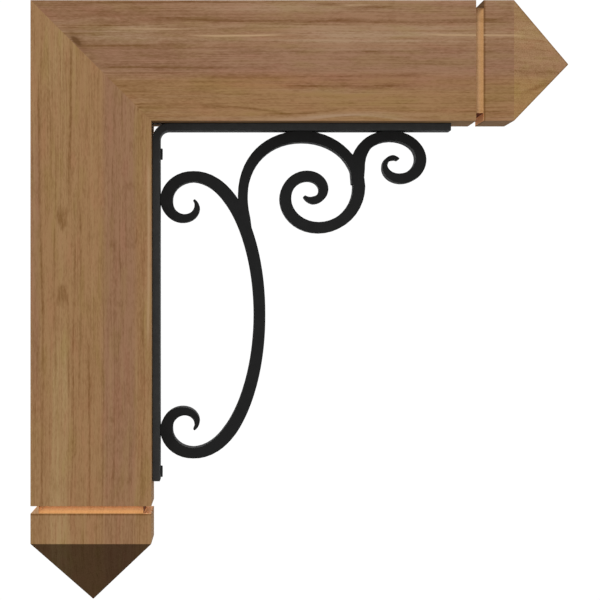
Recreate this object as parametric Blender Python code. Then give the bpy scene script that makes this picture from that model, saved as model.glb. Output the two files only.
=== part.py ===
"""Timber corbel bracket: a mitred post and beam with an iron strap and scroll in the corner.

Metres, +Z up. The wall is the plane X = 0, the beam reaches out along +X, and the bracket is
symmetrical about Y = 0. The origin is the middle of the post's flat wall face.
"""

from collections import namedtuple
from math import ceil, cos, radians, sin

import bmesh
import bpy
from mathutils import Matrix, Vector

INCH = 0.0254

# Timbers
TIMBER_SIDE = 4.0 * INCH          # post, out from the wall, and beam, top to bottom
TIMBER_THICKNESS = 4.0 * INCH     # both timbers, along the wall
BEAM_REACH = 18.0 * INCH          # wall to the tip of the beam's point
POST_HEIGHT = 20.0 * INCH         # top of the bracket to the tip of the post's point
BEAM_POINT_LENGTH = 2.0 * INCH
POST_POINT_LENGTH = 2.0 * INCH
COLLAR_LENGTH = 1.0 * INCH        # square block between the groove and the point
GROOVE_WIDTH = 0.25 * INCH        # along the timber
GROOVE_DEPTH = 0.25 * INCH
GROOVE_LAND = 0.02 * INCH         # left between the outer notch's bottom and the face notches

# Iron strap, a flat bar bent to an L
STRAP_THICKNESS = 0.25 * INCH
STRAP_WIDTH = 1.5 * INCH          # along the wall
STRAP_BEND_RADIUS = 0.28 * INCH   # inside of the bend
STRAP_END_CLEAR = 0.75 * INCH     # from each end of the strap to its timber's groove

# Iron scroll, one flat bar with two branches
SCROLL_FOOT_CLEAR = 0.72 * INCH   # from the lower curl's bottom to the leg's lower end
SCROLL_WIDTH = 1.5 * INCH         # along the wall
BAR_WIDTH = 0.4 * INCH            # bar as seen from the front

# Hexagonal screw heads on the strap's leg
HEAD_SIDES = 6
HEAD_ACROSS_FLATS = 0.375 * INCH
HEAD_HEIGHT = 0.075 * INCH
HEAD_CHAMFER = 0.012 * INCH
UPPER_SCREW_DROP = 0.47 * INCH    # below the end of the strap's bend
LOWER_SCREW_RISE = 0.3 * INCH     # above the leg's lower end

FIT_GAP = 0.0003                  # between pieces that touch
CUT_OVERRUN = 0.01                # how far a cutter reaches past the timber

# A stretch of scroll bar: degrees turned, positive clockwise from the front, and the radius and
# bar width at its end. A stretch that turns 0 is straight, and its radius value is its length.
# Radii and lengths are shares of SCROLL_HEIGHT, widths are shares of BAR_WIDTH.
Run = namedtuple("Run", "turn radius width")
# Where a bar starts: across and down from the strap's inner corner, as shares of SCROLL_HEIGHT.
# With no across the bar leans on the strap's leg, and with no down it hangs from the arm.
Start = namedtuple("Start", "across down heading radius width")

# The large C starts in the middle of its belly, and each half ends in a curl on the leg.
BELLY = Start(None, 0.560, -90, 0.945, 0.97)
C_HALF = (
    Run(15.5, 0.670, 1.03),
    Run(20, 0.262, 1.08),
    Run(19.5, 0.140, 1.00),
    Run(35, 0.097, 0.87),
    Run(90, 0.060, 1.05),
    Run(90, 0.049, 0.70),
    Run(90, 0.028, 0.45),
    Run(50, 0.028, 0.18),
)

# The arch starts at its crown under the strap. One way it runs down into the C, and the other
# way it winds into the middle spiral.
ARCH_CROWN = Start(0.431, None, 0, 0.209, 0.94)
ARCH_TO_C = (
    Run(45, 0.155, 0.91),
    Run(45, 0.209, 0.83),
    Run(14.5, 0.400, 0.72),
    Run(0, 0.040, 0.45),
)
ARCH_TO_SPIRAL = (
    Run(45, 0.162, 0.81),
    Run(45, 0.127, 1.00),
    Run(90, 0.121, 0.93),
    Run(90, 0.073, 0.97),
    Run(90, 0.063, 0.86),
    Run(90, 0.032, 0.78),
    Run(90, 0.033, 0.62),
    Run(50, 0.037, 0.18),
)

# The small scroll starts at its own crown, with its root in the arch.
SMALL_CROWN = Start(0.701, None, 0, 0.135, 0.83)
SMALL_TO_ARCH = (
    Run(45, 0.072, 0.97),
    Run(45, 0.150, 1.18),
    Run(0, 0.045, 0.98),
)
SMALL_TO_CURL = (
    Run(50, 0.071, 0.77),
    Run(40, 0.053, 0.89),
    Run(50, 0.062, 0.94),
    Run(40, 0.064, 0.82),
    Run(90, 0.027, 0.38),
    Run(90, 0.024, 0.38),
    Run(35, 0.036, 0.18),
)
STEP_ANGLE = 9.0                  # degrees between two stations of a curve
STEP_LENGTH = 0.25 * INCH         # and the most that they lie apart
BEND_STEP_ANGLE = 7.5

# Places that follow from the sizes: the grooves by their distance from the mitred corner, and
# the faces that the strap and the scroll bear on
POST_GROOVE = POST_HEIGHT - POST_POINT_LENGTH - COLLAR_LENGTH - GROOVE_WIDTH
BEAM_GROOVE = BEAM_REACH - BEAM_POINT_LENGTH - COLLAR_LENGTH - GROOVE_WIDTH
TOP_Z = POST_GROOVE / 2
STRAP_BACK_X = TIMBER_SIDE + FIT_GAP
STRAP_BACK_Z = TOP_Z - TIMBER_SIDE - FIT_GAP
LEG_END_Z = TOP_Z - POST_GROOVE + STRAP_END_CLEAR
ARM_END_X = BEAM_GROOVE - STRAP_END_CLEAR
SEAT_X = STRAP_BACK_X + STRAP_THICKNESS + FIT_GAP
SEAT_Z = STRAP_BACK_Z - STRAP_THICKNESS - FIT_GAP
SCROLL_HEIGHT = SEAT_Z - LEG_END_Z - SCROLL_FOOT_CLEAR


def clear_scene():
    """Remove every object that the file opened with."""
    for item in list(bpy.data.objects):
        bpy.data.objects.remove(item, do_unlink=True)


def make_material(name, colour, roughness, metallic=0.0):
    """A plain Principled material."""
    material = bpy.data.materials.new(name)
    material.use_nodes = True
    shader = material.node_tree.nodes["Principled BSDF"]
    shader.inputs["Base Color"].default_value = (*colour, 1.0)
    shader.inputs["Roughness"].default_value = roughness
    shader.inputs["Metallic"].default_value = metallic
    return material


def new_object(name, work, material=None):
    """Turn a bmesh into an object with its faces pointing outwards."""
    bmesh.ops.recalc_face_normals(work, faces=work.faces[:])
    mesh = bpy.data.meshes.new(name)
    work.to_mesh(mesh)
    work.free()
    item = bpy.data.objects.new(name, mesh)
    bpy.context.collection.objects.link(item)
    if material:
        mesh.materials.append(material)
    return item


def as_cutter(item):
    """Mark an object that only shapes another one."""
    item.hide_render = True
    item.display_type = "WIRE"
    return item


def add_boolean(target, tool, operation):
    """Cut a tool from the target, or join it on."""
    step = target.modifiers.new(f"{operation.title()} {tool.name}", "BOOLEAN")
    step.operation = operation
    step.solver = "EXACT"
    step.object = tool


def prism(work, outline, offset):
    """Extrude a flat outline of points by an offset, both ends closed."""
    face = work.faces.new([work.verts.new(point) for point in outline])
    swept = bmesh.ops.extrude_face_region(work, geom=[face])
    moved = [part for part in swept["geom"] if isinstance(part, bmesh.types.BMVert)]
    bmesh.ops.translate(work, verts=moved, vec=offset)


def along_beam(length, inward, across):
    """A point by its distance from the mitred corner, in from the outer face, and across."""
    return Vector((length, across, TOP_Z - inward))


def down_post(length, inward, across):
    """The same point on the post, which mirrors the beam in the mitre."""
    return Vector((inward, across, TOP_Z - length))


def groove_cutters(name, place, shoulder):
    """Cutters of one timber's groove: outer notch, front and rear notches, inner slot."""
    half = TIMBER_THICKNESS / 2
    reach = half + CUT_OVERRUN
    end = shoulder + GROOVE_WIDTH
    inner = TIMBER_SIDE - GROOVE_DEPTH

    # A notch is square on the long side of the timber and slopes up towards the point.
    outer = bmesh.new()
    notch = (
        (shoulder, -CUT_OVERRUN), (shoulder, GROOVE_DEPTH), (end, 0.0), (end, -CUT_OVERRUN),
    )
    prism(outer, [place(length, inward, -reach) for length, inward in notch],
          place(0, 0, reach) - place(0, 0, -reach))

    faces = bmesh.new()
    first = GROOVE_DEPTH + GROOVE_LAND
    last = inner + GROOVE_DEPTH / 2   # well inside the slot
    for side in (-1, 1):
        notch = (
            (shoulder, half + CUT_OVERRUN), (shoulder, half - GROOVE_DEPTH),
            (end, half), (end, half + CUT_OVERRUN),
        )
        prism(faces, [place(length, first, side * across) for length, across in notch],
              place(0, last, 0) - place(0, first, 0))

    slot = bmesh.new()
    sides = (
        (shoulder, inner), (end, inner),
        (end, TIMBER_SIDE + CUT_OVERRUN), (shoulder, TIMBER_SIDE + CUT_OVERRUN),
    )
    prism(slot, [place(length, inward, -reach) for length, inward in sides],
          place(0, 0, reach) - place(0, 0, -reach))

    return [
        as_cutter(new_object(f"{name}_{part}", work))
        for part, work in (("outer_notch", outer), ("face_notches", faces), ("inner_slot", slot))
    ]


def make_timber(name, place, groove, total_length, material):
    """A square timber with a mitred end, a groove, a collar and a pyramid point."""
    half = TIMBER_THICKNESS / 2
    base = groove + GROOVE_WIDTH + COLLAR_LENGTH
    work = bmesh.new()

    def square(at_outer, at_inner):
        corners = ((at_outer, 0, -half), (at_outer, 0, half),
                   (at_inner, TIMBER_SIDE, half), (at_inner, TIMBER_SIDE, -half))
        return [work.verts.new(place(*corner)) for corner in corners]

    # The mitre runs at 45 degrees, half the fit gap back from the joint.
    mitre = square(FIT_GAP / 2, TIMBER_SIDE + FIT_GAP / 2)
    shank = square(base, base)
    tip = work.verts.new(place(total_length, TIMBER_SIDE / 2, 0))
    work.faces.new(mitre)
    for k in range(4):
        following = (k + 1) % 4
        work.faces.new((mitre[k], mitre[following], shank[following], shank[k]))
        work.faces.new((shank[k], shank[following], tip))

    timber = new_object(name, work, material)
    for cutter in groove_cutters(name, place, groove):
        add_boolean(timber, cutter, "DIFFERENCE")
    return timber


def follow_run(stations, radius, run, angle_step, clockwise=1):
    """Extend a list of (x, z, heading, width) by one run and return the radius at its end."""
    x, z, heading, width = stations[-1]
    turn = -clockwise * radians(run.turn)
    if run.turn == 0:
        stations.append((x + run.radius * cos(heading), z + run.radius * sin(heading),
                         heading, run.width))
        return radius
    length = abs(turn) * (radius + run.radius) / 2
    count = max(2, ceil(abs(run.turn) / angle_step), ceil(length / STEP_LENGTH))
    for k in range(count):
        # The radius eases from one end to the other, each step an arc of its own.
        local = radius * (run.radius / radius) ** ((k + 0.5) / count)
        chord = 2 * local * sin(abs(turn) / count / 2)
        x += chord * cos(heading + turn / count / 2)
        z += chord * sin(heading + turn / count / 2)
        heading += turn / count
        stations.append((x, z, heading, width + (run.width - width) * (k + 1) / count))
    return run.radius


def edge_points(stations):
    """Left and right edges of a bar, as (x, z) points."""
    left, right = [], []
    for x, z, heading, width in stations:
        across, up = -sin(heading) * width / 2, cos(heading) * width / 2
        left.append((x + across, z + up))
        right.append((x - across, z - up))
    return left, right


def make_bar(name, stations, width, material=None):
    """Extrude the ribbon between a bar's two edges along the wall."""
    work = bmesh.new()
    rows = [
        [work.verts.new((x, -width / 2, z)) for x, z in edge]
        for edge in edge_points(stations)
    ]
    faces = [
        work.faces.new((rows[0][k], rows[0][k + 1], rows[1][k + 1], rows[1][k]))
        for k in range(len(stations) - 1)
    ]
    swept = bmesh.ops.extrude_face_region(work, geom=faces)
    moved = [part for part in swept["geom"] if isinstance(part, bmesh.types.BMVert)]
    bmesh.ops.translate(work, verts=moved, vec=(0, width, 0))
    return new_object(name, work, material)


def scroll_stations(start, back_runs, forward_runs):
    """A bar of the scroll from one tip to the other, in real sizes, seated at the corner."""
    first_width = start.width * BAR_WIDTH
    x = (start.across or 0) * SCROLL_HEIGHT
    z = -first_width / 2 if start.down is None else -start.down * SCROLL_HEIGHT
    halves = []
    for runs, flip, clockwise in ((back_runs, 180, -1), (forward_runs, 0, 1)):
        stations = [(x, z, radians(start.heading + flip), first_width)]
        radius = start.radius * SCROLL_HEIGHT
        for run in runs:
            sized = Run(run.turn, run.radius * SCROLL_HEIGHT, run.width * BAR_WIDTH)
            radius = follow_run(stations, radius, sized, STEP_ANGLE, clockwise)
        halves.append(stations)
    back = [(x, z, heading - radians(180), width) for x, z, heading, width in halves[0][:0:-1]]
    stations = back + halves[1]
    slip = 0
    if start.across is None:
        slip = -min(x for edge in edge_points(stations) for x, z in edge)
    return [(SEAT_X + slip + x, SEAT_Z + z, heading, width) for x, z, heading, width in stations]


def make_scroll(material):
    """The large C, the arch with its spiral and the small scroll, joined into one piece."""
    c_bar = scroll_stations(BELLY, C_HALF, C_HALF)
    scroll = make_bar("iron_scroll", c_bar, SCROLL_WIDTH, material)
    branches = (
        ("arch", scroll_stations(ARCH_CROWN, ARCH_TO_C, ARCH_TO_SPIRAL)),
        ("small_scroll", scroll_stations(SMALL_CROWN, SMALL_TO_ARCH, SMALL_TO_CURL)),
    )
    for name, stations in branches:
        branch = as_cutter(make_bar(name, stations, SCROLL_WIDTH))
        add_boolean(scroll, branch, "UNION")
    return scroll


def make_strap(material):
    """Flat bar up the post, round the corner and out under the beam."""
    middle_radius = STRAP_BEND_RADIUS + STRAP_THICKNESS / 2
    x = STRAP_BACK_X + STRAP_THICKNESS / 2
    z = STRAP_BACK_Z - STRAP_THICKNESS / 2
    leg = z - middle_radius - LEG_END_Z
    arm = ARM_END_X - x - middle_radius
    stations = [(x, LEG_END_Z, radians(90), STRAP_THICKNESS)]
    for turn, radius in ((0, leg), (90, middle_radius), (0, arm)):
        follow_run(stations, middle_radius, Run(turn, radius, STRAP_THICKNESS), BEND_STEP_ANGLE)
    return make_bar("iron_strap", stations, STRAP_WIDTH, material)


def make_screw_head(name, height, material):
    """Hexagonal head on the strap's leg, two flats level, with its outer rim chamfered."""
    work = bmesh.new()
    corner_radius = HEAD_ACROSS_FLATS / 2 / cos(radians(180 / HEAD_SIDES))
    bmesh.ops.create_cone(work, cap_ends=True, segments=HEAD_SIDES, radius1=corner_radius,
                          radius2=corner_radius, depth=HEAD_HEIGHT)
    rim = [edge for edge in work.edges if all(vert.co.z > 0 for vert in edge.verts)]
    bmesh.ops.bevel(work, geom=rim, offset=HEAD_CHAMFER, segments=1, profile=0.5,
                    affect="EDGES", material=-1)
    # The first corner lies on +Y and stays there while the head's axis turns from +Z to +X.
    bmesh.ops.rotate(work, matrix=Matrix.Rotation(radians(90), 3, "Y"), verts=work.verts[:])
    head = new_object(name, work, material)
    head.location = (SEAT_X + HEAD_HEIGHT / 2, 0, height)
    return head


def main():
    clear_scene()
    make_timber("timber_post", down_post, POST_GROOVE, POST_HEIGHT,
                make_material("post timber", (0.29, 0.17, 0.08), 0.75))
    make_timber("timber_beam", along_beam, BEAM_GROOVE, BEAM_REACH,
                make_material("beam timber", (0.31, 0.19, 0.085), 0.75))
    make_strap(make_material("strap iron", (0.027, 0.027, 0.027), 0.6, 0.4))
    make_scroll(make_material("scroll iron", (0.023, 0.023, 0.023), 0.6, 0.4))
    bend_end = SEAT_Z - STRAP_BEND_RADIUS
    make_screw_head("screw_upper", bend_end - UPPER_SCREW_DROP,
                    make_material("upper screw iron", (0.04, 0.04, 0.04), 0.55, 0.5))
    make_screw_head("screw_lower", LEG_END_Z + LOWER_SCREW_RISE,
                    make_material("lower screw iron", (0.04, 0.04, 0.04), 0.55, 0.5))


main()
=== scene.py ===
"""Looks of the timber corbel bracket: stained softwood timbers and a matt black iron scroll.

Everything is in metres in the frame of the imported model: the wall is the plane X = 0, the beam
reaches out along +X, the bracket is symmetrical about Y = 0 and +Z is up. Each piece here starts
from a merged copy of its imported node, and gets eased edges and a material of its own.
"""

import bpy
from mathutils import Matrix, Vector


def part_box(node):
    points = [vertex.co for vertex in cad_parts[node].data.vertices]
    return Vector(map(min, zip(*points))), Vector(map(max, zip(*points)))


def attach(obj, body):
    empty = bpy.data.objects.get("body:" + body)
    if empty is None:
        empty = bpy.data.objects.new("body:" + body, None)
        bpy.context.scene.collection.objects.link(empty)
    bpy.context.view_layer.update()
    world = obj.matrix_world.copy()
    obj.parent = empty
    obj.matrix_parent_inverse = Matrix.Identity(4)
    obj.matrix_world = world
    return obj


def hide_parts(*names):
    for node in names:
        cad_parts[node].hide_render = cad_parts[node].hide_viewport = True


bl_info = {
    "name": "Timber Corbel Bracket",
    "version": (1, 0, 0),
    "blender": (4, 5, 0),
    "location": "3D View > Sidebar > Bracket",
    "description": "Dresses a timber corbel bracket with an iron scroll and sets its studio",
    "category": "Object",
}

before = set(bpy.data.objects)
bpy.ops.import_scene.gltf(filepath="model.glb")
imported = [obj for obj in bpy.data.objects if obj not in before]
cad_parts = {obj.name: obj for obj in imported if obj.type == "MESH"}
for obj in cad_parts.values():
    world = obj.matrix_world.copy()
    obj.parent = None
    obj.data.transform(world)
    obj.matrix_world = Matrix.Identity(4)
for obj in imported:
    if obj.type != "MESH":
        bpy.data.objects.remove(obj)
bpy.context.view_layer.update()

from collections import namedtuple
from math import cos, pi, radians, sin

import bmesh
import bpy
from bpy.props import (
    FloatProperty,
    FloatVectorProperty,
    PointerProperty,
)
from mathutils import Vector

MM = 0.001
INCH = 0.0254
POST_LOW, POST_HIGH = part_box("timber_post")
BEAM_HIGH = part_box("timber_beam")[1]
TOP_Z = BEAM_HIGH.z
TIMBER_SIDE = POST_HIGH.x
HALF_THICKNESS = POST_HIGH.y
MITRE_GAP = 0.3 * MM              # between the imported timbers, closed here
SEAT_GAP = 0.3 * MM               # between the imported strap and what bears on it, closed here

# The groove, the collar and the point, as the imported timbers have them
GROOVE_WIDTH = 0.25 * INCH
COLLAR_LENGTH = 1.0 * INCH
POINT_LENGTH = 2.0 * INCH
BEAM_GROOVE = BEAM_HIGH.x - POINT_LENGTH - COLLAR_LENGTH - GROOVE_WIDTH
POST_GROOVE = TOP_Z - POST_LOW.z - POINT_LENGTH - COLLAR_LENGTH - GROOVE_WIDTH

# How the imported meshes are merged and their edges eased
MERGE_DISTANCE = 0.02 * MM        # corners closer than this are one
BAR_MERGE_DISTANCE = 0.12 * MM    # the same along the iron bars, before their edges are eased
SEAM_ANGLE = radians(0.4)         # faces that turn less than this are one
EASED_ANGLE = radians(28)         # outward edges that turn less than this stay as they are
SHARP_ANGLE = radians(50)         # edges that turn less than this are shaded smooth
EASING_SEGMENTS = 2
CLOSE = 0.05 * MM                 # a corner this close to a plane lies on it
GROOVE_MARGIN = 0.1 * MM

# The photograph's camera stands square to the front face
PICTURE_SIDE = 600                # pixels
PICTURE_SCALE = 30.225            # pixels to an inch on the front face
VANISHING_X, VANISHING_Y = 230.4, 284.7
WALL_PIXEL_X = 30.42
CAMERA_DISTANCE = 111.94 * INCH   # to the front face
SENSOR_WIDTH = 36.0               # millimetres
VIEW_RANGE = 100.0                # metres

BRACKET_MIDDLE = Vector((0.2, 0.0, 0.0))
KEY_DISTANCE = 6.5                # metres from the bracket's middle
KEY_AZIMUTH = radians(15)         # to the left of the camera
KEY_SIZE = 3.0                    # metres
GROUND_DIP, SKY_DIP = -0.26, -0.12    # where ground turns to sky, as the angle's sine
FLOOR_CORNERS = 96
FLOOR_COLOUR = (0.86, 0.86, 0.85, 1)

# How much of a mirror the stained wood, the matt paint and the floor are
WOOD_SPECULAR, PAINT_SPECULAR, FLOOR_SPECULAR = 0.03, 0.08, 0.2


class Value:
    """A shader socket. Arithmetic on it adds Math nodes to its material."""

    def __init__(self, tree, socket):
        self.tree = tree
        self.socket = socket

    def other(self, output):
        """Another output of the same node."""
        return Value(self.tree, self.socket.node.outputs[output])

    def math(self, operation, *operands):
        """A Math node with this value first."""
        sockets = dict(enumerate((self, *operands)))
        return self.tree.add("ShaderNodeMath", {"operation": operation}, sockets)

    def __add__(self, other):
        return self.math("ADD", other)

    def __sub__(self, other):
        return self.math("SUBTRACT", other)

    def __rsub__(self, other):
        return self * -1 + other

    def __mul__(self, other):
        return self.math("MULTIPLY", other)

    def __truediv__(self, other):
        return self.math("DIVIDE", other)

    def __pow__(self, other):
        return self.math("POWER", other)

    __radd__ = __add__
    __rmul__ = __mul__

    def __abs__(self):
        return self.math("ABSOLUTE")

    def clamped(self):
        """The value kept between 0 and 1."""
        return self.math("MAXIMUM", 0.0).math("MINIMUM", 1.0)


class Tree:
    """The node tree of one material or of the world, with its nodes added by one method."""

    def __init__(self, owner):
        owner.use_nodes = True
        self.owner = owner
        self.nodes = owner.node_tree.nodes
        self.links = owner.node_tree.links

    def add(self, kind, settings=None, sockets=None, output=0):
        """Add a node: its settings first, then the values or links of its sockets."""
        node = self.nodes.new(kind)
        for name, value in (settings or {}).items():
            setattr(node, name, value)
        self.fill(node, sockets or {})
        return Value(self, node.outputs[output])

    def fill(self, node, sockets):
        """Set or link the sockets of a node."""
        for name, value in sockets.items():
            if isinstance(value, Value):
                self.links.new(value.socket, node.inputs[name])
            else:
                node.inputs[name].default_value = value

    def place(self):
        """The object's own X, Y and Z, in millimetres."""
        point = self.add("ShaderNodeTexCoord", output="Object")
        parts = self.add("ShaderNodeSeparateXYZ", None, {0: point})
        return [parts.other(axis) / MM for axis in "XYZ"]

    def noise(self, x, y, z, detail=2.0, roughness=0.5):
        """Noise from 0 to 1 about 0.5, on three values."""
        point = self.add("ShaderNodeCombineXYZ", None, {0: x, 1: y, 2: z})
        sockets = {"Vector": point, "Scale": 1.0, "Detail": detail, "Roughness": roughness}
        return self.add("ShaderNodeTexNoise", None, sockets, "Fac")

    def smooth(self, value, low, high):
        """0 below low and 1 above high, eased between them. High may be the lower of the two."""
        sockets = {"Value": value, "From Min": low, "From Max": high}
        return self.add("ShaderNodeMapRange", {"interpolation_type": "SMOOTHSTEP"}, sockets)

    def ramp(self, value, low, high):
        """0 below low and 1 above high, straight between them."""
        sockets = {"Value": value, "From Min": low, "From Max": high}
        return self.add("ShaderNodeMapRange", None, sockets)

    def band(self, value, low, high, soft):
        """1 between low and high, eased to 0 over soft on both sides."""
        rise = self.smooth(value, low - soft / 2, low + soft / 2)
        return rise * self.smooth(value, high + soft / 2, high - soft / 2)

    def bell(self, value, centre, width):
        """A bell curve, 1 at its centre."""
        away = (value - centre) / width
        return (away * away * -1).math("EXPONENT")

    def mix(self, first, second, share, blend="MIX"):
        """A colour between two colours. A colour is a socket or its red, green and blue."""
        first, second = (colour if isinstance(colour, Value) else (*colour, 1)
                         for colour in (first, second))
        settings = {"data_type": "RGBA", "blend_type": blend}
        return self.add("ShaderNodeMix", settings, {0: share, 6: first, 7: second}, 2)

    def tint(self, colour, tint, share):
        """A colour times a tint, as far as the share goes."""
        return self.mix(colour, tint, share, "MULTIPLY")


def new_material(name):
    """A material and its tree, with only the shader and the output."""
    return Tree(bpy.data.materials.new(name))


def finish_material(tree, sockets, bump=None):
    """Fill the material's shader. A bump is a height and how deep it goes, in metres."""
    if bump:
        height, depth = bump
        settings = {"Height": height, "Distance": depth, "Strength": 1.0}
        sockets = {**sockets, "Normal": tree.add("ShaderNodeBump", None, settings)}
    tree.fill(tree.nodes["Principled BSDF"], sockets)
    return tree.owner


def merged_copy(node):
    """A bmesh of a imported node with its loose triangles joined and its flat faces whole."""
    work = bmesh.new()
    work.from_mesh(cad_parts[node].data)
    bmesh.ops.remove_doubles(work, verts=work.verts[:], dist=MERGE_DISTANCE)
    bmesh.ops.dissolve_limit(work, angle_limit=SEAM_ANGLE, verts=work.verts[:],
                             edges=work.edges[:], delimit={"NORMAL"})
    return work


def ease_edges(work, radius, keep_sharp=None):
    """Round the outward edges of a bmesh, apart from those that keep_sharp picks."""
    chosen = []
    for edge in work.edges:
        if len(edge.link_faces) != 2 or edge.calc_face_angle_signed() < EASED_ANGLE:
            continue
        if keep_sharp and keep_sharp(edge):
            continue
        chosen.append(edge)
    bmesh.ops.bevel(work, geom=chosen, offset=radius, offset_type="OFFSET",
                    segments=EASING_SEGMENTS, profile=0.5, affect="EDGES", material=-1,
                    clamp_overlap=False)


def finished_piece(name, work, material, node):
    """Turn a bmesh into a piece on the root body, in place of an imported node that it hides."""
    for face in work.faces:
        face.smooth = True
    for edge in work.edges:
        edge.smooth = len(edge.link_faces) == 2 and edge.calc_face_angle() < SHARP_ANGLE
    mesh = bpy.data.meshes.new(name)
    work.to_mesh(mesh)
    work.free()
    mesh.materials.append(material)
    piece = bpy.data.objects.new(name, mesh)
    bpy.context.scene.collection.objects.link(piece)
    # Large faces stay flat, and only their eased edges turn the light
    even = piece.modifiers.new("Weighted Normal", "WEIGHTED_NORMAL")
    even.keep_sharp = True
    even.weight = 100
    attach(piece, "root")
    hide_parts(node)
    return piece


# The marks of a timber are in millimetres, along it from the corner and inward from its outer
# face. How its wood lies: the growth rings go round a pith outside the section, and thread is how
# strongly the finest long lines show.
Grain = namedtuple("Grain", "pith_inward pith_across seed thread")
# A zone of another tone, between two distances inward, over a stretch along the grain
Zone = namedtuple("Zone", "low high soft strength start end", defaults=(-100.0, 700.0))
# One dark line on the front face from one place to another, with a sag between them, or a light
# one where its strength is negative
Line = namedtuple("Line", "start inward end end_inward sag width strength")
# An eye, where the rings of the front face bend round a place
Eye = namedtuple("Eye", "start end soft inward width shift")
# A flame: a dark wedge that widens from its tip towards its mouth, with a fine line on each side
Flame = namedtuple("Flame", "tip mouth inward width strength")
# A tone that grows along the timber from one distance to another
Shade = namedtuple("Shade", "start end strength")
# A knot, as an ellipse that leans towards the corner
Knot = namedtuple("Knot", "along inward length width")
# The wood of one timber. Its last field is how dark the painted shade on the ridges of its point
# is.
Wood = namedtuple("Wood", "upright groove grain pink light lines red eyes flames knot shades "
                  "ridge", defaults=((), (), (), None, (), 0.0))
# The colours in which the post and the beam differ. Corner is painted shade on the beam and
# painted light on the post; point is painted light on the beam and painted shade on the post.
Tones = namedtuple("Tones", "pink light cut corner point")

BEAM_GRAIN = Grain(260.0, -7.0, 3.0, 0.9)
BEAM_PINK = (
    Zone(-5.0, 20.0, 5.0, 0.8),
    Zone(20.0, 37.0, 6.0, 0.55),
    Zone(37.0, 64.0, 12.0, 1.0),
    Zone(64.0, 75.0, 8.0, 0.7, 225.0, 385.0),
)
BEAM_RED = (Zone(62.0, 73.5, 6.0, 0.9, 150.0, 390.0),)
BEAM_LIGHT = (
    Zone(-5.0, 11.0, 5.0, 0.4, 140.0, 420.0),
    Zone(20.0, 38.0, 6.0, 0.45),
    Zone(20.0, 34.0, 5.0, 0.6, 50.0, 100.0),
    Zone(23.0, 41.0, 8.0, 0.55, 215.0, 350.0),
    Zone(95.0, 101.6, 3.0, 0.5, 235.0, 315.0),
    Zone(98.0, 103.0, 3.0, 0.4),
)
BEAM_LINES = (
    Line(112.0, 15.2, 270.0, 16.8, 1.4, 1.5, 0.62),
    Line(255.0, 17.2, 400.0, 16.0, 1.6, 1.8, 0.55),
    Line(25.0, 1.8, 235.0, 1.2, 0.4, 0.8, 0.45),
    Line(45.0, 37.0, 130.0, 37.6, 0.8, 2.4, 0.4),
    Line(160.0, 43.0, 330.0, 42.6, 0.6, 0.9, 0.45),
    Line(330.0, 41.2, 400.0, 41.8, 0.5, 0.9, 0.4),
    Line(60.0, 55.5, 215.0, 56.5, 0.8, 1.3, 0.4),
    Line(155.0, 63.5, 330.0, 62.8, 1.0, 1.6, 0.4),
    Line(215.0, 72.5, 320.0, 71.5, 0.5, 1.8, 0.55),
    Line(145.0, 88.5, 216.0, 96.2, -1.5, 1.1, 0.6),
    Line(200.0, 96.6, 262.0, 92.6, 1.0, 1.1, 0.5),
    Line(300.0, 93.4, 400.0, 95.2, -1.0, 1.1, 0.35),
    Line(246.0, 3.0, 266.0, 7.4, -0.6, 1.7, 0.6),
    Line(272.0, 8.8, 298.0, 6.6, 0.6, 1.4, 0.7),
    Line(260.0, 6.2, 280.0, 6.0, 0.0, 1.8, -0.35),
    Line(404.0, 59.8, 446.0, 58.6, 0.3, 1.5, 0.5),
    Line(419.0, 76.0, 437.0, 68.5, 0.0, 2.0, 0.8),
    Line(142.0, 29.8, 206.0, 29.6, 0.3, 0.8, -0.9),
    Line(335.0, 29.2, 410.0, 29.4, 0.2, 0.8, -0.75),
    Line(70.0, 23.5, 128.0, 24.5, 0.3, 1.0, -0.4),
)
BEAM_EYES = (
    Eye(245.0, 300.0, 50.0, 101.0, 7.5, 5.0),
    Eye(262.0, 292.0, 30.0, 6.5, 3.2, 2.4),
)
BEAM_KNOT = Knot(38.6, 34.6, 6.4, 2.6)
BEAM_SHADES = (
    Shade(235.0, 60.0, 0.3),
    Shade(330.0, 400.0, 0.14),
)
BEAM_WOOD = Wood(False, BEAM_GROOVE / MM, BEAM_GRAIN, BEAM_PINK, BEAM_LIGHT, BEAM_LINES,
                 red=BEAM_RED, eyes=BEAM_EYES, knot=BEAM_KNOT, shades=BEAM_SHADES, ridge=0.5)

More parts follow.
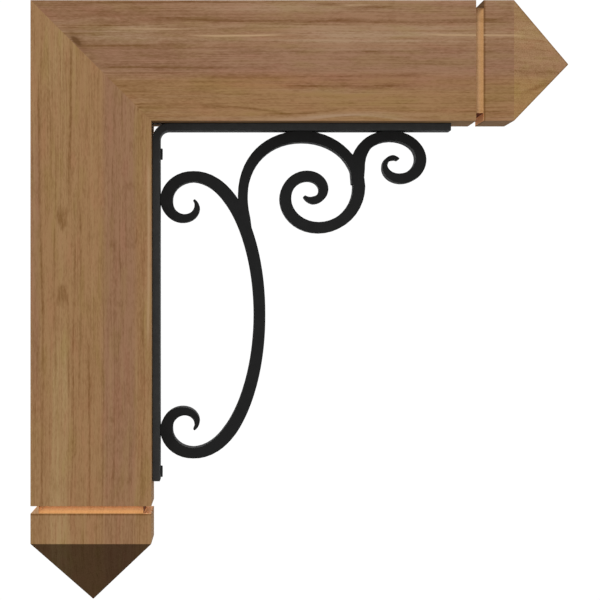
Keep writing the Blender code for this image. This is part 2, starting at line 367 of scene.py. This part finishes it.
POST_GRAIN = Grain(-150.0, 8.0, 11.0, 0.5)
POST_PINK = (
    Zone(61.0, 88.5, 7.0, 1.0, -100.0, 400.0),
    Zone(61.0, 88.5, 7.0, 0.55, 400.0, 700.0),
    Zone(-4.0, 8.0, 5.0, 0.7, 110.0, 330.0),
)
POST_LIGHT = (
    Zone(16.0, 32.0, 8.0, 0.85, 285.0, 560.0),
    Zone(20.0, 33.0, 8.0, 0.35, 20.0, 200.0),
    Zone(14.0, 36.0, 9.0, 0.6, 10.0, 80.0),
)
POST_LINES = (
    Line(60.0, 7.0, 270.0, 10.6, -0.8, 1.0, 0.6),
    Line(270.0, 10.6, 430.0, 9.0, 0.6, 0.9, 0.4),
    Line(40.0, 14.0, 150.0, 17.5, 0.6, 0.8, 0.4),
    Line(35.0, 34.0, 165.0, 31.0, 1.2, 1.0, 0.5),
    Line(165.0, 36.5, 300.0, 35.5, 1.0, 0.9, 0.5),
    Line(170.0, 42.0, 330.0, 41.0, 0.6, 0.9, 0.5),
    Line(290.0, 48.5, 430.0, 49.5, 0.6, 1.0, 0.5),
    Line(310.0, 36.0, 425.0, 34.0, 0.8, 0.9, 0.35),
    Line(90.0, 70.5, 425.0, 70.0, 0.6, 0.8, 0.3),
    Line(215.0, 61.0, 430.0, 60.4, 0.6, 0.8, 0.35),
    Line(30.0, 93.0, 440.0, 93.5, 0.3, 3.2, 0.26),
    Line(270.0, 4.5, 500.0, 4.5, 0.0, 5.0, 0.16),
    Line(320.0, 74.0, 500.0, 74.0, 0.0, 12.0, 0.12),
    Line(140.0, 99.2, 285.0, 99.0, 0.3, 1.2, -0.5),
)
POST_FLAMES = (
    Flame(195.5, 96.0, 26.8, 5.6, 0.6),
    Flame(236.5, 330.0, 26.8, 5.6, 0.6),
)
POST_WOOD = Wood(True, POST_GROOVE / MM, POST_GRAIN, POST_PINK, POST_LIGHT, POST_LINES,
                 flames=POST_FLAMES)

# How far the rings wander over a short and over a long stretch, how deep an eye reaches behind the
# front face, and over which length a zone and a line fade at their ends
RIPPLE, SWAY, EYE_DEPTH, ZONE_FADE, LINE_FADE = 1.6, 8.0, 24.0, 70.0, 26.0
# How much each kind of mark darkens the wood; the rim's mark is a painted shadow line
LATE_DARK, STREAK_DARK, CLOUD_DARK, MOTTLE_DARK = 0.2, 0.3, 0.6, 0.55
SMUDGE_DARK, FIBRE_DARK, FLECK_DARK, RIM_PAINTED_SHADE = 0.2, 0.7, 1.0, 0.8
# How much of those marks the fresh cut in the groove shows
CUT_DARK = 0.55
# The flames are gone at the first depth and whole at the second, which is nearer the front
FLAME_BACK, FLAME_FRONT = 10.0, -20.0
# Inside the groove, the corner tint (painted shade on the beam, painted light on the post) ends
# this far in from the outer face, and is whole up to there
CORNER_END, CORNER_WHOLE = 7.4, 6.4
# The axes of a leaning knot are sums and differences, which are longer by the root of two
LEANING = 1.4
# How thin the section gets at the point, as a share, before the rings stop tapering with it
LEAST_TAPER = 0.05


def ring_level(tree, wood, along, inward, y):
    """Where the ring at a place meets the front face, as a distance from the outer face."""
    grain = wood.grain
    front = HALF_THICKNESS / MM
    # The rings run straight on over the point's facets
    point_start = wood.groove + (GROOVE_WIDTH + COLLAR_LENGTH) / MM
    tapered = tree.ramp(along, point_start, point_start + POINT_LENGTH / MM)
    across = y / (1 - tapered).math("MAXIMUM", LEAST_TAPER)
    side = 1 if grain.pith_inward < 0 else -1
    from_pith = inward - grain.pith_inward
    aside = across - grain.pith_across
    ring = from_pith * from_pith + aside * aside - (front + grain.pith_across) ** 2
    level = ring ** 0.5 * side + grain.pith_inward
    for eye in wood.eyes:
        near = tree.band(along, eye.start, eye.end, eye.soft)
        near = near * tree.bell(inward, eye.inward, eye.width)
        level = level + near * tree.bell(y, -front, EYE_DEPTH) * eye.shift
    return level


def zone_share(tree, zones, along, level):
    """How much of the tone of some zones a place has."""
    total = 0.0
    for zone in zones:
        share = tree.band(level, zone.low, zone.high, zone.soft)
        share = share * tree.band(along, zone.start, zone.end, ZONE_FADE)
        total = share * zone.strength + total
    return total.math("MINIMUM", 1.0)


def line_share(tree, line, along, level):
    """How much of a line a place has."""
    way = (along - line.start) / (line.end - line.start)
    path = way * (line.end_inward - line.inward) + line.inward
    path = path + way * (1 - way) * (4 * line.sag)
    share = tree.bell(level - path, 0.0, line.width) * abs(line.strength)
    return share * tree.band(along, line.start, line.end, LINE_FADE)


def flame_share(tree, flame, along, level, y):
    """How much of a flame a place has: of its wedge and of the fine lines on its sides."""
    way = (along - flame.tip) / (flame.mouth - flame.tip)
    half = (way * 5).clamped() ** 0.6 * flame.width
    beside = abs(level - flame.inward) - half
    side_lines = tree.bell(beside, 0.0, 1.2) * tree.band(way, 0.1, 0.9, 0.3) * 0.4
    wedge = tree.smooth(beside, 1.0, -1.6) * tree.band(way, 0.0, 0.2, 0.13) * 0.9
    return (side_lines + wedge) * tree.smooth(y, FLAME_BACK, FLAME_FRONT) * flame.strength


def with_knot(tree, colour, knot, look, along, inward, ripple):
    """The wood's colour with a dark halo and a knot in it."""
    length = (along - knot.along) + (inward - knot.inward)
    width = (along - knot.along) - (inward - knot.inward)
    spot = tree.bell(length, 0.0, knot.length * LEANING)
    spot = spot * tree.bell(width, 0.0, knot.width * LEANING)
    halo = tree.bell(length, 2.0, knot.length * 2.6) * tree.bell(width, 2.0, knot.width * 2.4)
    colour = tree.tint(colour, look.late, halo * 0.5)
    return tree.mix(colour, look.knot, tree.smooth(spot + ripple * 0.6, 0.2, 0.8) * 0.8)


def fresh_cut(tree, wood, tones, look, along, inward, dark):
    """The groove's fresh cut: painted light deep in it and in the slot, painted shade at the
    slot's bottom.
    """
    groove_end = wood.groove + GROOVE_WIDTH / MM
    slot = (TIMBER_SIDE - GROOVE_WIDTH) / MM
    fresh = tree.tint(tones.cut, look.late, dark * CUT_DARK)
    # Painted light: the cut is made paler towards the shoulder, which shades it
    fresh = tree.tint(fresh, look.deep_cut_painted_light, tree.smooth(along, groove_end - 1.5, wood.groove))
    # The fresh cut across the inner side, its colour lifted as painted light against the narrow
    # slot's shade
    fresh = tree.mix(fresh, look.slot_cut_with_painted_light, tree.smooth(inward, slot - 0.7, slot + 0.3))
    # Painted shade: a near-black band at the bottom of the inner side's slot, where shade falls
    bottom = tree.band(inward, slot - 0.4, slot + 0.3, 0.3)
    bottom = bottom * tree.smooth(along, groove_end - 0.1, groove_end - 0.6)
    return tree.mix(fresh, look.slot_bottom_painted_shade, bottom)


def wood_material(name, wood, tones, look):
    """Stained softwood. A place divided by a length gives marks about as many millimetres long."""
    tree = new_material(name)
    x, y, z = tree.place()
    down = TOP_Z / MM - z
    along, inward = (down, x) if wood.upright else (x, down)
    front = HALF_THICKNESS / MM
    side = TIMBER_SIDE / MM
    groove_end = wood.groove + GROOVE_WIDTH / MM
    collar_end = groove_end + COLLAR_LENGTH / MM
    seed = wood.grain.seed

    level = ring_level(tree, wood, along, inward, y)
    ripple = tree.noise(along / 60, level / 14, seed, detail=2.0) - 0.5
    level = level + ripple * RIPPLE
    sway = (tree.noise(along / 260, level / 40, y / 60 + seed, detail=1.0) - 0.5) * SWAY
    rings = level + sway

    # Tones: golden wood with pinkish and light zones
    colour = tree.mix(look.golden, tones.pink, zone_share(tree, wood.pink, along, level))
    broad = tree.noise(along / 150, rings / 5, seed + 4.0, detail=3.0)
    lightness = zone_share(tree, wood.light, along, level) * tree.smooth(broad, 0.3, 0.6)
    lightness = lightness + tree.smooth(broad, 0.5, 0.75) * 0.3
    colour = tree.mix(colour, tones.light, lightness.math("MINIMUM", 1.0))

    # The stain took unevenly: greenish in some places, reddish in others
    drift = tree.noise(along / 40, inward / 9, y / 14 + seed, detail=2.0)
    colour = tree.tint(colour, look.greenish, tree.smooth(drift, 0.5, 0.68))
    colour = tree.tint(colour, look.reddish, tree.smooth(drift, 0.46, 0.3))
    if wood.red:
        colour = tree.tint(colour, look.ruddy, zone_share(tree, wood.red, along, level))

    # Late wood: a line for each ring, some strong and some faint, and loose streaks between them
    spread = tree.noise(along / 500, rings / 8, seed + 8.0, detail=1.0) * 14
    wave = (rings * (2 * pi / (look.ring_width / MM)) + spread).math("COSINE") * 0.5 + 0.5
    strength = tree.smooth(tree.noise(along / 130, rings / 2.6, seed, detail=2.0), 0.4, 0.7)
    late = wave * wave * strength
    streak = tree.smooth(tree.noise(along / 60, rings / 1.2, y / 12, detail=3.0), 0.5, 0.75)
    cloud = tree.noise(along / 42, rings / 2.6, y / 25 + 3.0, detail=2.0) - 0.4
    mottle = tree.noise(along / 15, inward / 5, y / 6 + seed, detail=2.0) - 0.5
    dark = late * LATE_DARK + streak * STREAK_DARK + cloud * CLOUD_DARK + mottle * MOTTLE_DARK

    # Single marks: shades, flames and lines
    fibre = tree.noise(along / 14, inward / 0.7, y / 0.7, detail=3.0, roughness=0.65)
    for shade in wood.shades:
        dark = tree.smooth(along, shade.start, shade.end) * shade.strength + dark
    for flame in wood.flames:
        dark = flame_share(tree, flame, along, level, y) + dark
    bright = 0.0
    for line in wood.lines:
        share = line_share(tree, line, along, level)
        if line.strength > 0:
            dark = share * (fibre + 0.4) + dark
        else:
            bright = share + bright

    # Faint smudges across the grain, left by the planer in the first pinkish zone
    beat = ((along + sway) * (2 * pi / (look.planer_pitch / MM)) - 1.2).math("COSINE")
    patch = tree.smooth(tree.noise(along / 30, inward / 9, seed + 5.0), 0.42, 0.62)
    smudge = tree.smooth(beat, 0.86, 1.0) * patch * zone_share(tree, wood.pink[:1], along, level)

    # Fibres, flecks and threads, the finest marks
    fleck = tree.noise(along / 3.5, inward / 0.9, y / 0.9, detail=1.0)
    thread = tree.noise(along / 140, inward / 0.8, y / 0.8 + 9.0, detail=1.0)
    dark = dark + smudge * SMUDGE_DARK
    dark = dark + (fibre - 0.5) * FIBRE_DARK + (fleck - 0.5) * FLECK_DARK
    dark = dark + (thread - 0.5) * wood.grain.thread

    # Painted shade: a thin dark line along the groove's far edge, where the collar's step shadows
    # it, and dark lines on the ridges of the point
    point_share = tree.smooth(along, collar_end - 0.2, collar_end + 0.4)
    dark = dark + tree.bell(along, groove_end + 0.6, 0.8) * RIM_PAINTED_SHADE
    if wood.ridge:
        ridge = abs(abs(inward - side / 2) - abs(y))
        dark = tree.smooth(ridge, 2.0, 0.5) * point_share * wood.ridge + dark
    colour = tree.tint(colour, look.late, dark.clamped())
    colour = tree.mix(colour, look.bright, bright + (fibre - 0.55) * 0.12)
    if wood.knot:
        colour = with_knot(tree, colour, wood.knot, look, along, inward, ripple)

    # Corner tint beside the groove: painted shade on the beam, painted light on the post. The
    # fresh cut in the groove. Point tint: painted light on the beam, painted shade on the post
    groove_share = tree.band(along, wood.groove - 0.05, groove_end + 0.05, 0.1)
    inside = tree.smooth(abs(y), front - 0.1, front - 0.3)
    inside = inside * tree.band(inward, 0.2, side - 0.2, 0.2)
    corner = tree.smooth(inward, CORNER_END, CORNER_WHOLE) * groove_share
    colour = tree.tint(colour, tones.corner, corner)
    fresh = fresh_cut(tree, wood, tones, look, along, inward, dark)
    colour = tree.mix(colour, fresh, groove_share * inside)
    colour = tree.tint(colour, tones.point, point_share)

    return finish_material(tree, {
        "Base Color": colour,
        "Roughness": 0.68 + (fibre - 0.5) * 0.25 + late * 0.08,
        "Specular IOR Level": WOOD_SPECULAR,
    }, bump=(late * 0.5 + fibre * 0.6, look.relief))


def iron_material(name, look, colour):
    """Matt black paint over iron, with a fine uneven skin."""
    tree = new_material(name)
    x, y, z = tree.place()
    cloud = tree.noise(x / 9, y / 9, z / 9, detail=3.0)
    grain = tree.noise(x / 0.9, y / 0.9, z / 0.9, detail=2.0, roughness=0.6)
    dull, clean = ([part * share for part in colour] for share in (0.88, 1.12))
    return finish_material(tree, {
        "Base Color": tree.mix(dull, clean, tree.smooth(cloud * 0.5 + grain * 0.5, 0.35, 0.65)),
        "Roughness": look.roughness + (cloud - 0.5) * 0.12 + (grain - 0.5) * 0.1,
        "Specular IOR Level": PAINT_SPECULAR,
    }, bump=(grain + cloud, look.relief))


def from_wall(point):
    """How far a point is along the beam, and in from the post's outer face."""
    return point.x


def from_top(point):
    """How far a point is down the post, and in from the beam's outer face."""
    return TOP_Z - point.z


def make_timber(name, node, material, look, along_of, inward_of, closing):
    """One timber, its mitred end moved up to the joint and its other outward edges eased."""
    work = merged_copy(node)
    for vert in work.verts:
        if abs(along_of(vert.co) - inward_of(vert.co) - MITRE_GAP / 2) < CLOSE:
            vert.co += closing
    groove_end = max(along_of(vert.co) for vert in work.verts) - POINT_LENGTH - COLLAR_LENGTH
    groove = (groove_end - GROOVE_WIDTH - GROOVE_MARGIN, groove_end + GROOVE_MARGIN)

    def stays_sharp(edge):
        places = [along_of(vert.co) for vert in edge.verts]
        mitred = all(abs(from_wall(vert.co) - from_top(vert.co)) < CLOSE for vert in edge.verts)
        return mitred or all(groove[0] < place < groove[1] for place in places)

    ease_edges(work, look.edge_radius, keep_sharp=stays_sharp)
    return finished_piece(name, work, material, node)


def make_iron(name, node, material, edge_radius, shift=(0, 0, 0)):
    """An iron piece with its edges eased, moved by the gap to what it bears on."""
    work = merged_copy(node)
    bmesh.ops.remove_doubles(work, verts=work.verts[:], dist=BAR_MERGE_DISTANCE)
    bmesh.ops.translate(work, verts=work.verts[:], vec=shift)
    ease_edges(work, edge_radius)
    return finished_piece(name, work, material, node)


def colour_property(name, description, default):
    """A colour that the panel shows with a swatch."""
    return FloatVectorProperty(name=name, description=description, subtype="COLOR", size=3,
                               min=0.0, max=1.0, default=default)


def tint_property(name, description, default):
    """A colour that multiplies another one, and may be above 1."""
    return FloatVectorProperty(name=name, description=description, subtype="COLOR", size=3,
                               min=0.0, soft_max=2.0, default=default)


def length_property(name, description, default):
    """A length that the panel shows in the scene's units."""
    return FloatProperty(name=name, description=description, subtype="DISTANCE", unit="LENGTH",
                         min=0.0, default=default, precision=4)


class TimberLook(bpy.types.PropertyGroup):
    """Finish of the post and the beam."""

    golden: colour_property("Golden wood", "Main colour of the stained wood",
                            (0.336, 0.190, 0.0885))
    pink: colour_property("Pinkish wood", "Colour of the beam's pinkish zones",
                          (0.326, 0.181, 0.108))
    brown: colour_property("Brownish wood", "Colour of the post's pinkish zones",
                           (0.306, 0.166, 0.092))
    light: colour_property("Light wood", "Colour of the beam's light zones", (0.385, 0.246, 0.150))
    pale: colour_property("Pale wood", "Colour of the post's light zones", (0.385, 0.250, 0.118))
    late: colour_property("Late wood", "What the dark lines leave of the wood's colour",
                          (0.56, 0.46, 0.33))
    greenish: tint_property("Greenish stain", "What the stain's greenish places do to the colour",
                            (0.96, 1.0, 0.90))
    reddish: tint_property("Reddish stain", "What the stain's reddish places do to the colour",
                           (1.02, 0.97, 1.0))
    ruddy: tint_property("Ruddy stain", "What the stain's ruddy band does to the beam's colour",
                         (1.0, 0.915, 0.89))
    bright: colour_property("Bright line", "Colour of the light lines", (0.50, 0.33, 0.19))
    knot: colour_property("Knot", "Colour of the knot at the mitre", (0.12, 0.055, 0.02))
    beam_cut: colour_property("Beam's groove", "Colour of the fresh cut in the beam's groove",
                              (0.580, 0.316, 0.136))
    # Painted shade: darkens the beam beside the groove's outer corner, where its notch lies in
    # shade
    beam_corner_painted_shade: tint_property("Beam's groove corner", "What the stain does to the beam beside "
                               "the groove's outer corner", (0.36, 0.34, 0.28))
    post_cut: colour_property("Post's groove", "Colour of the fresh cut in the post's groove",
                              (0.780, 0.377, 0.142))
    # Painted light: lightens the post beside the groove's outer corner, against the shoulder's
    # shade
    post_corner_painted_light: tint_property("Post's groove corner", "What the stain does to the post beside "
                               "the groove's outer corner", (1.60, 1.68, 1.95))
    # Painted light: how much paler the cut is made deep in a groove, against the shoulder's shade
    deep_cut_painted_light: tint_property("Deep cut", "How much paler the cut is deep in a groove",
                            (1.22, 1.6, 2.2))
    # Fresh-cut colour of the slot, made paler as painted light against the slot's shade
    slot_cut_with_painted_light: colour_property("Slot's side", "Colour of the cut across the timber's inner side",
                              (1.0, 0.58, 0.29))
    # Painted shade: the near-black colour of the slot's shaded bottom
    slot_bottom_painted_shade: colour_property("Slot's bottom", "Colour of the grimy bottom of that cut",
                                 (0.14, 0.03, 0.004))
    # Painted light: lightens the beam's point, whose facets catch more light than the front
    beam_point_painted_light: tint_property("Beam's point", "What the beam's point does to the wood's colour",
                              (1.24, 1.30, 1.16))
    # Painted shade: darkens the post's downward point, whose facets face away from the light
    post_point_painted_shade: tint_property("Post's point", "What the stain that soaked into the post's point "
                              "leaves of the wood's colour", (0.325, 0.315, 0.31))
    ring_width: length_property("Ring width", "Distance between two growth rings", 2.5 * MM)
    planer_pitch: length_property("Planer pitch", "Distance between two planer marks", 49 * MM)
    relief: length_property("Relief", "Height of the grain's relief", 0.05 * MM)
    edge_radius: length_property("Edge radius", "Rounding of the outward edges", 0.35 * MM)


class IronLook(bpy.types.PropertyGroup):
    """Finish of the strap, the scroll and the screw heads."""

    scroll_paint: colour_property("Scroll paint", "Colour of the scroll", (0.0134, 0.0134, 0.0134))
    # The same matt black as the scroll, made several times lighter as painted light for the strap,
    # which sits back in the timbers' shade
    strap_paint_and_painted_light: colour_property("Strap paint", "Colour of the strap", (0.0515, 0.053, 0.053))
    head_paint: colour_property("Head paint", "Colour of the screw heads", (0.044, 0.044, 0.044))
    roughness: FloatProperty(name="Roughness", description="How matt the paint is",
                             subtype="FACTOR", min=0.0, max=1.0, default=0.65)
    relief: length_property("Relief", "Height of the paint's uneven skin", 0.02 * MM)
    edge_radius: length_property("Edge radius", "Rounding of the bars' edges", 0.45 * MM)
    head_edge_radius: length_property("Head edge radius", "Rounding of the heads' edges",
                                      0.12 * MM)


class StudioLook(bpy.types.PropertyGroup):
    """Light and floor."""

    sky: FloatProperty(name="Sky", description="Brightness of the pale surroundings", min=0.0,
                       default=1.03)
    ground: FloatProperty(name="Ground", description="Light that comes up from below", min=0.0,
                          default=0.52)
    key_power: FloatProperty(name="Key light", description="Power of the large light above",
                             unit="POWER", min=0.0, default=98.0)
    key_height: FloatProperty(name="Key height", description="How steeply the large light falls",
                              subtype="ANGLE", min=0.0, default=radians(52))
    floor_drop: length_property("Floor drop", "How far the floor lies below the middle of the "
                                "wall face", 1.6)
    floor_radius: length_property("Floor radius", "Size of the round floor", 12.0)


class BRACKET_OT_timbers(bpy.types.Operator):
    """Make the post and the beam"""

    bl_idname = "bracket.timbers"
    bl_label = "Timbers"

    def execute(self, context):
        look = context.scene.bracket_timber
        beam_tones = Tones(look.pink, look.light, look.beam_cut, look.beam_corner_painted_shade, look.beam_point_painted_light)
        post_tones = Tones(look.brown, look.pale, look.post_cut, look.post_corner_painted_light, look.post_point_painted_shade)
        beam_wood = wood_material("beam wood", BEAM_WOOD, beam_tones, look)
        post_wood = wood_material("post wood", POST_WOOD, post_tones, look)
        half_gap = MITRE_GAP / 2
        make_timber("beam", "timber_beam", beam_wood, look, from_wall, from_top,
                    Vector((-half_gap, 0, 0)))
        make_timber("post", "timber_post", post_wood, look, from_top, from_wall,
                    Vector((0, 0, half_gap)))
        return {"FINISHED"}


class BRACKET_OT_ironwork(bpy.types.Operator):
    """Make the strap and the scroll"""

    bl_idname = "bracket.ironwork"
    bl_label = "Ironwork"

    def execute(self, context):
        look = context.scene.bracket_iron
        # The strap's paint carries painted light against the timbers' shade
        strap_paint_and_painted_light = iron_material("strap paint", look, look.strap_paint_and_painted_light)
        make_iron("strap", "iron_strap", strap_paint_and_painted_light, look.edge_radius)
        scroll_paint = iron_material("scroll paint", look, look.scroll_paint)
        make_iron("scroll", "iron_scroll", scroll_paint, look.edge_radius,
                  shift=(-SEAT_GAP, 0, SEAT_GAP))
        return {"FINISHED"}


class BRACKET_OT_screw_heads(bpy.types.Operator):
    """Make the hexagonal screw heads"""

    bl_idname = "bracket.screw_heads"
    bl_label = "Screw heads"

    def execute(self, context):
        look = context.scene.bracket_iron
        paint = iron_material("head paint", look, look.head_paint)
        for place in ("upper", "lower"):
            make_iron(f"{place}_screw_head", f"screw_{place}", paint, look.head_edge_radius,
                      shift=(-SEAT_GAP, 0, 0))
        return {"FINISHED"}


class BRACKET_OT_studio(bpy.types.Operator):
    """Make the camera, the light and the pale floor"""

    bl_idname = "bracket.studio"
    bl_label = "Studio"

    def execute(self, context):
        look = context.scene.bracket_studio
        make_camera(context.scene)
        make_surroundings(context.scene, look)
        make_key_light(look)
        make_floor(look)
        context.scene.view_settings.view_transform = "Standard"
        return {"FINISHED"}


def make_camera(scene):
    """The photograph's camera, square to the front face, with its frame shifted to the object."""
    metres = INCH / PICTURE_SCALE
    width = PICTURE_SIDE * metres
    data = bpy.data.cameras.new("camera")
    data.sensor_width = SENSOR_WIDTH
    data.lens = SENSOR_WIDTH * CAMERA_DISTANCE / width
    data.shift_x = (PICTURE_SIDE / 2 - VANISHING_X) / PICTURE_SIDE
    data.shift_y = (VANISHING_Y - PICTURE_SIDE / 2) / PICTURE_SIDE
    data.clip_end = VIEW_RANGE
    camera = bpy.data.objects.new("camera", data)
    camera.location = ((VANISHING_X - WALL_PIXEL_X) * metres, -HALF_THICKNESS - CAMERA_DISTANCE,
                       TOP_Z - VANISHING_Y * metres)
    camera.rotation_euler = (radians(90), 0, 0)
    scene.collection.objects.link(camera)
    scene.camera = camera


def make_surroundings(scene, look):
    """Pale surroundings, as bright as a softbox above the horizon and dim well below it."""
    world = bpy.data.worlds.new("studio")
    scene.world = world
    tree = Tree(world)
    direction = tree.add("ShaderNodeTexCoord", output="Generated")
    up = tree.add("ShaderNodeSeparateXYZ", None, {0: direction}).other("Z")
    share = tree.smooth(up, GROUND_DIP, SKY_DIP)
    tree.fill(tree.nodes["Background"], {
        "Color": (1, 1, 1, 1),
        "Strength": share * (look.sky - look.ground) + look.ground,
    })


def make_key_light(look):
    """A large soft light above the camera, slightly to its left."""
    data = bpy.data.lights.new("key light", "AREA")
    data.shape = "SQUARE"
    data.size = KEY_SIZE
    data.energy = look.key_power
    light = bpy.data.objects.new("key light", data)
    level = KEY_DISTANCE * cos(look.key_height)
    light.location = BRACKET_MIDDLE + Vector((
        -level * sin(KEY_AZIMUTH), -level * cos(KEY_AZIMUTH), KEY_DISTANCE * sin(look.key_height),
    ))
    aim = BRACKET_MIDDLE - light.location
    light.rotation_euler = aim.to_track_quat("-Z", "Y").to_euler()
    bpy.context.scene.collection.objects.link(light)


def make_floor(look):
    """A round pale floor well below the bracket, which lights nothing from below."""
    work = bmesh.new()
    bmesh.ops.create_circle(work, cap_ends=True, segments=FLOOR_CORNERS,
                            radius=look.floor_radius)
    bmesh.ops.translate(work, verts=work.verts[:], vec=(0, 0, -look.floor_drop))
    mesh = bpy.data.meshes.new("floor")
    work.to_mesh(mesh)
    work.free()
    tree = new_material("pale floor")
    mesh.materials.append(finish_material(tree, {
        "Base Color": FLOOR_COLOUR, "Roughness": 0.9, "Specular IOR Level": FLOOR_SPECULAR,
    }))
    floor = bpy.data.objects.new("floor", mesh)
    floor.visible_diffuse = False
    floor.visible_glossy = False
    bpy.context.scene.collection.objects.link(floor)


class BRACKET_PT_panel(bpy.types.Panel):
    """Lists the bracket's operators and their settings"""

    bl_label = "Timber Corbel Bracket"
    bl_space_type = "VIEW_3D"
    bl_region_type = "UI"
    bl_category = "Bracket"

    def draw(self, context):
        for group, operators in GROUPS:
            box = self.layout.box()
            for operator in operators:
                box.operator(operator.bl_idname)
            settings = getattr(context.scene, group)
            for name in settings.__annotations__:
                box.prop(settings, name)


GROUPS = (
    ("bracket_timber", (BRACKET_OT_timbers,)),
    ("bracket_iron", (BRACKET_OT_ironwork, BRACKET_OT_screw_heads)),
    ("bracket_studio", (BRACKET_OT_studio,)),
)
CLASSES = (
    TimberLook, IronLook, StudioLook, BRACKET_OT_timbers, BRACKET_OT_ironwork,
    BRACKET_OT_screw_heads, BRACKET_OT_studio, BRACKET_PT_panel,
)


def register():
    for cls in CLASSES:
        bpy.utils.register_class(cls)
    bpy.types.Scene.bracket_timber = PointerProperty(type=TimberLook)
    bpy.types.Scene.bracket_iron = PointerProperty(type=IronLook)
    bpy.types.Scene.bracket_studio = PointerProperty(type=StudioLook)


def unregister():
    for group, _ in GROUPS:
        delattr(bpy.types.Scene, group)
    for cls in reversed(CLASSES):
        bpy.utils.unregister_class(cls)


def main():
    register()
    bpy.ops.bracket.timbers()
    bpy.ops.bracket.ironwork()
    bpy.ops.bracket.screw_heads()
    bpy.ops.bracket.studio()


if __name__ == "__main__":
    main()
